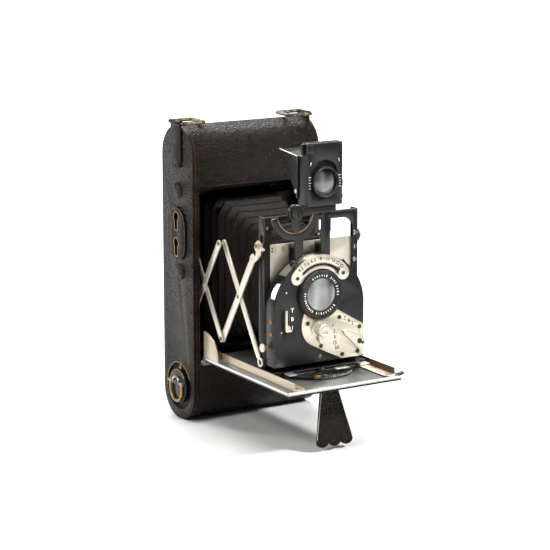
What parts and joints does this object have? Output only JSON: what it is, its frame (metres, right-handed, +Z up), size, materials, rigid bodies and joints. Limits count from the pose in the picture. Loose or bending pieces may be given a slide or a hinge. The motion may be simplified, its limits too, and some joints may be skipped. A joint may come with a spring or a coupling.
{
  "type": "folding roll-film camera",
  "caption": "Slim folding pocket camera opened for use: drop bed with rails and foot, lazy-tong struts, bellows, rising and cross lens front with dial shutter, swinging reflecting finder.",
  "frame": {"origin": "centre of the flat outer face of the camera's back cover", "axes": "+Z up along the camera's long side, +X to the right of a person facing the lens, the lens looks along -Y and the back faces +Y"},
  "size_m": [0.078, 0.1136, 0.1529],
  "materials": {
    "case_leather": "fine-grained black leather, worn red-brown at the edges",
    "side_leather": "fine-grained black leather",
    "back_leather": "fine-grained black leather",
    "bed_leather": "fine-grained black leather",
    "bellows_leather": "thin matt black leather with a purple-brown tone, pleated",
    "black_enamel": "baked black enamel, satin, rubbed to copper at the edges",
    "shutter_enamel": "baked black enamel, satin, with a rubbed brown-silver rim",
    "aged_nickel": "aged nickel plate with a cream tone",
    "bright_alloy": "brushed light alloy",
    "steel": "plain steel",
    "worn_brass": "worn yellow brass",
    "lens_glass": "polished optical glass",
    "ruby_glass": "deep red glass"
  },
  "bodies": {
    "case": {"body_shell": "case_leather", "side_plate_left": "side_leather", "side_plate_right": "side_leather", "accessory_plate": "black_enamel", "inner_chassis": "black_enamel", "strap_lug_left": "black_enamel", "strap_lug_right": "black_enamel", "bed_plate": "bright_alloy", "bed_hinge_pin": "steel", "bed_cover_panel": "bed_leather", "bed_rail_left": "bright_alloy", "bed_rail_right": "bright_alloy"},
    "upper_roller": {"film_roller_upper": "aged_nickel"},
    "lower_roller": {"film_roller_lower": "aged_nickel"},
    "loop_left": {"strap_loop_left": "worn_brass"},
    "loop_right": {"strap_loop_right": "worn_brass"},
    "winder": {"winding_key": "black_enamel", "takeup_spool": "black_enamel"},
    "key_ring": {"winding_key_ring": "worn_brass"},
    "back": {"back_cover": "back_leather", "red_window": "ruby_glass", "pressure_plate": "black_enamel"},
    "latch": {"back_latch": "aged_nickel"},
    "foot_strut": {"foot": "bed_leather"},
    "standard": {"carriage": "black_enamel", "standard_frame": "black_enamel", "bellows": "bellows_leather"},
    "focus_arm": {"focus_lever": "black_enamel"},
    "rise": {"rise_panel": "aged_nickel"},
    "front": {"shutter_housing": "shutter_enamel", "shutter_back_plate": "steel", "catch_stud": "aged_nickel", "aperture_scale": "aged_nickel", "speed_plate": "aged_nickel", "lens_barrel": "shutter_enamel", "front_element": "lens_glass", "rear_lens_cell": "shutter_enamel", "finder_bracket": "black_enamel"},
    "pointer": {"aperture_pointer": "worn_brass"},
    "speed_arm": {"speed_lever": "aged_nickel"},
    "release": {"release_knob": "aged_nickel"},
    "sector": {"shutter_sector": "steel"},
    "mode_arm": {"mode_lever": "aged_nickel"},
    "finder": {"finder_arm": "black_enamel", "finder_body": "black_enamel", "finder_top_glass": "lens_glass"},
    "finder_front": {"finder_lens_mount": "black_enamel", "finder_lens": "lens_glass"},
    "hood": {"finder_hood": "black_enamel"},
    "tong_pin_left": {"tong_stud_left": "aged_nickel"},
    "tong_a2_left": {"tong_front_rising_left": "aged_nickel"},
    "tong_b2_left": {"tong_front_falling_left": "aged_nickel"},
    "tong_a1_left": {"tong_rear_rising_left": "aged_nickel"},
    "tong_b1_left": {"tong_rear_falling_left": "aged_nickel"},
    "tong_pin_right": {"tong_stud_right": "aged_nickel"},
    "tong_a2_right": {"tong_front_rising_right": "aged_nickel"},
    "tong_b2_right": {"tong_front_falling_right": "aged_nickel"},
    "tong_a1_right": {"tong_rear_rising_right": "aged_nickel"},
    "tong_b1_right": {"tong_rear_falling_right": "aged_nickel"}
  },
  "joints": [
    {"name": "standard_slide", "type": "slide", "parent": "case", "child": "standard", "axis": [0, 1, 0], "range_m": [0, 0.024], "deforming": ["bellows"]},
    {"name": "rise_slide", "type": "slide", "parent": "standard", "child": "rise", "axis": [0, 0, 1], "range_m": [0, 0.012]},
    {"name": "cross_slide", "type": "slide", "parent": "rise", "child": "front", "axis": [1, 0, 0], "range_m": [0, 0.004]},
    {"name": "focus_swing", "type": "hinge", "parent": "standard", "child": "focus_arm", "pos_m": [-0.002, -0.0944, -0.0371], "axis": [0, 0, 1], "range_deg": [0, 35]},
    {"name": "finder_swing", "type": "hinge", "parent": "front", "child": "finder", "pos_m": [-0.0135, -0.0895, 0.0405], "axis": [0, -1, 0], "range_deg": [0, 90]},
    {"name": "finder_lens_rise", "type": "slide", "parent": "finder", "child": "finder_front", "axis": [0, 0, 1], "range_m": [0, 0.0032]},
    {"name": "hood_tilt", "type": "hinge", "parent": "finder", "child": "hood", "pos_m": [0.0022, -0.0812, 0.0488], "axis": [1, 0, 0], "range_deg": [0, 20]},
    {"name": "aperture_set", "type": "hinge", "parent": "front", "child": "pointer", "pos_m": [-0.001, -0.092, 0], "axis": [0, -1, 0], "range_deg": [0, 80]},
    {"name": "speed_set", "type": "hinge", "parent": "front", "child": "speed_arm", "pos_m": [0.021, -0.0926, -0.0256], "axis": [0, -1, 0], "range_deg": [0, 20]},
    {"name": "shutter_release", "type": "hinge", "parent": "front", "child": "release", "pos_m": [-0.002, -0.094, -0.0168], "axis": [0, -1, 0], "range_deg": [0, 25]},
    {"name": "sector_swing", "type": "hinge", "parent": "front", "child": "sector", "pos_m": [0.006, -0.0882, -0.022], "axis": [0, 1, 0], "range_deg": [0, 38]},
    {"name": "mode_set", "type": "slide", "parent": "front", "child": "mode_arm", "axis": [0, 0, 1], "range_m": [0, 0.0075]},
    {"name": "back_off", "type": "slide", "parent": "case", "child": "back", "axis": [0, 1, 0], "range_m": [0, 0.03]},
    {"name": "latch_slide", "type": "slide", "parent": "back", "child": "latch", "axis": [1, 0, 0], "range_m": [0, 0.006]},
    {"name": "winding", "type": "hinge", "parent": "case", "child": "winder", "pos_m": [-0.037, -0.0155, -0.058], "axis": [1, 0, 0], "continuous": true},
    {"name": "key_ring_fold", "type": "hinge", "parent": "winder", "child": "key_ring", "pos_m": [-0.0388, -0.0155, -0.0558], "axis": [0, 1, 0], "range_deg": [0, 90]},
    {"name": "upper_roller_spin", "type": "hinge", "parent": "case", "child": "upper_roller", "pos_m": [0, -0.0118, 0.041], "axis": [1, 0, 0], "continuous": true},
    {"name": "lower_roller_spin", "type": "hinge", "parent": "case", "child": "lower_roller", "pos_m": [0, -0.0118, -0.041], "axis": [1, 0, 0], "continuous": true},
    {"name": "loop_left_swing", "type": "hinge", "parent": "case", "child": "loop_left", "pos_m": [-0.0373, -0.0155, 0.0766], "axis": [0, -1, 0], "range_deg": [0, 180]},
    {"name": "loop_right_swing", "type": "hinge", "parent": "case", "child": "loop_right", "pos_m": [0.0373, -0.0155, 0.0766], "axis": [0, 1, 0], "range_deg": [0, 180]},
    {"name": "foot_fold", "type": "hinge", "parent": "case", "child": "foot_strut", "pos_m": [0.0005, -0.097, -0.0437], "axis": [1, 0, 0], "range_deg": [0, 100]},
    {"name": "tong_pin_lift_left", "type": "slide", "parent": "standard", "child": "tong_pin_left", "axis": [0, 0, 1], "range_m": [0, 0.0036]},
    {"name": "tong_front_pivot_left", "type": "hinge", "parent": "tong_pin_left", "child": "tong_a2_left", "pos_m": [-0.0285, -0.0795, 0.0244], "axis": [-1, 0, 0], "range_deg": [0, 14]},
    {"name": "tong_crossing_left", "type": "hinge", "parent": "tong_a2_left", "child": "tong_b2_left", "pos_m": [-0.0285, -0.0612, -0.004], "axis": [1, 0, 0], "range_deg": [0, 28]},
    {"name": "tong_upper_node_left", "type": "hinge", "parent": "tong_b2_left", "child": "tong_a1_left", "pos_m": [-0.0285, -0.04571, 0.02003], "axis": [-1, 0, 0], "range_deg": [0, 28]},
    {"name": "tong_lower_node_left", "type": "hinge", "parent": "tong_a2_left", "child": "tong_b1_left", "pos_m": [-0.0285, -0.04571, -0.02803], "axis": [1, 0, 0], "range_deg": [0, 28]},
    {"name": "tong_pin_lift_right", "type": "slide", "parent": "standard", "child": "tong_pin_right", "axis": [0, 0, 1], "range_m": [0, 0.0036]},
    {"name": "tong_front_pivot_right", "type": "hinge", "parent": "tong_pin_right", "child": "tong_a2_right", "pos_m": [0.0285, -0.0795, 0.0244], "axis": [-1, 0, 0], "range_deg": [0, 14]},
    {"name": "tong_crossing_right", "type": "hinge", "parent": "tong_a2_right", "child": "tong_b2_right", "pos_m": [0.0285, -0.0612, -0.004], "axis": [1, 0, 0], "range_deg": [0, 28]},
    {"name": "tong_upper_node_right", "type": "hinge", "parent": "tong_b2_right", "child": "tong_a1_right", "pos_m": [0.0285, -0.04571, 0.02003], "axis": [-1, 0, 0], "range_deg": [0, 28]},
    {"name": "tong_lower_node_right", "type": "hinge", "parent": "tong_a2_right", "child": "tong_b1_right", "pos_m": [0.0285, -0.04571, -0.02803], "axis": [1, 0, 0], "range_deg": [0, 28]}
  ],
  "couplings": [
    {"joint": "sector_swing", "follows": "shutter_release", "ratio": 1.48},
    {"joint": "tong_pin_lift_left", "follows": "standard_slide", "ratio": 0.1401},
    {"joint": "tong_front_pivot_left", "follows": "standard_slide", "rad_per_m": 9.352},
    {"joint": "tong_crossing_left", "follows": "standard_slide", "rad_per_m": 18.703},
    {"joint": "tong_upper_node_left", "follows": "standard_slide", "rad_per_m": 18.703},
    {"joint": "tong_lower_node_left", "follows": "standard_slide", "rad_per_m": 18.703},
    {"joint": "tong_pin_lift_right", "follows": "standard_slide", "ratio": 0.1401},
    {"joint": "tong_front_pivot_right", "follows": "standard_slide", "rad_per_m": 9.352},
    {"joint": "tong_crossing_right", "follows": "standard_slide", "rad_per_m": 18.703},
    {"joint": "tong_upper_node_right", "follows": "standard_slide", "rad_per_m": 18.703},
    {"joint": "tong_lower_node_right", "follows": "standard_slide", "rad_per_m": 18.703}
  ]
}
